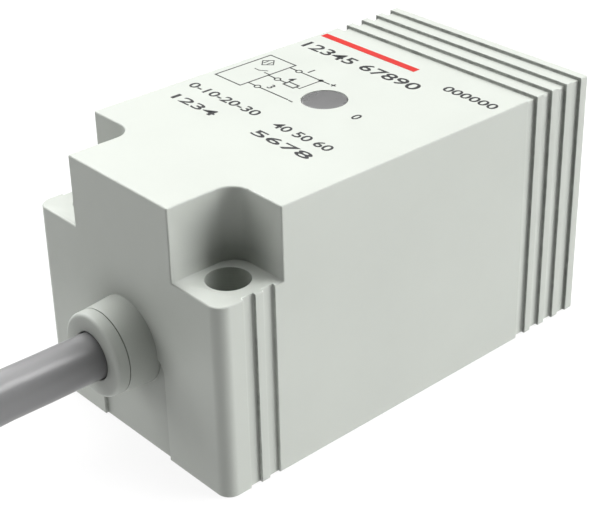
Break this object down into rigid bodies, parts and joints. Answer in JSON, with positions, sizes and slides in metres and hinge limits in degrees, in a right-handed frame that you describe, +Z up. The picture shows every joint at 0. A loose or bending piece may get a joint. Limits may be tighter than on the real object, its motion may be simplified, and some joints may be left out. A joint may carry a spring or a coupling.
{
  "type": "proximity sensor",
  "caption": "Block inductive proximity sensor with a potted cable, a flush status light, a grooved sensing end and screw holes in two lowered ears.",
  "frame": {"origin": "middle of the flat base under the block", "axes": "+X towards the sensing face, away from the cable; +Z up to the marked top with the light"},
  "size_m": [0.1943, 0.045, 0.0307],
  "materials": {
    "housing_plastic": "fine spark-eroded texture, satin",
    "cap_plastic": "satin",
    "lens_plastic": "smoky translucent grey",
    "jacket": "satin PVC",
    "seal_rubber": "matt",
    "nickel": "nickel-plated",
    "shield_brass": "rolled",
    "ferrite": "pressed and sintered",
    "bobbin_plastic": "moulded",
    "copper": "enamelled wire",
    "carrier_plastic": "moulded",
    "board_laminate": "solder mask",
    "package_black": "moulded epoxy",
    "ceramic_tan": "fired",
    "tantalum_yellow": "moulded",
    "emitter": "clear epoxy over a phosphor",
    "resin": "cast",
    "core_brown": "PVC",
    "core_black": "PVC",
    "core_blue": "PVC",
    "tin": "tinned",
    "tie_nylon": "moulded",
    "ink_black": "printed",
    "ink_red": "printed"
  },
  "bodies": {
    "root": {"housing": "housing_plastic", "gland_ring": "housing_plastic", "front_cap": "cap_plastic", "led_lens": "lens_plastic", "grommet": "seal_rubber", "cable_clamp": "nickel", "circuit_board": "board_laminate", "led_chip": "emitter", "oscillator_ic": "package_black", "output_transistor": "package_black", "surge_diode": "package_black", "oscillator_capacitor": "ceramic_tan", "led_resistor": "package_black", "trim_resistor": "package_black", "filter_capacitor": "tantalum_yellow", "polarity_diode": "package_black", "decoupling_capacitor": "ceramic_tan", "sense_resistor": "package_black", "ferrite_core": "ferrite", "coil_bobbin": "bobbin_plastic", "coil_winding": "copper", "shield_ring": "shield_brass", "core_carrier": "carrier_plastic", "coil_lead_start": "copper", "coil_lead_finish": "copper", "potting_resin": "resin", "cable": "jacket", "cable_hank": "jacket", "cable_tail": "jacket", "cable_tie": "tie_nylon", "lead_brown": "core_brown", "lead_tip_brown": "tin", "core_wire_brown": "core_brown", "lead_blue": "core_blue", "lead_tip_blue": "tin", "core_wire_blue": "core_blue", "lead_black": "core_black", "lead_tip_black": "tin", "core_wire_black": "core_black"}
  },
  "joints": []
}
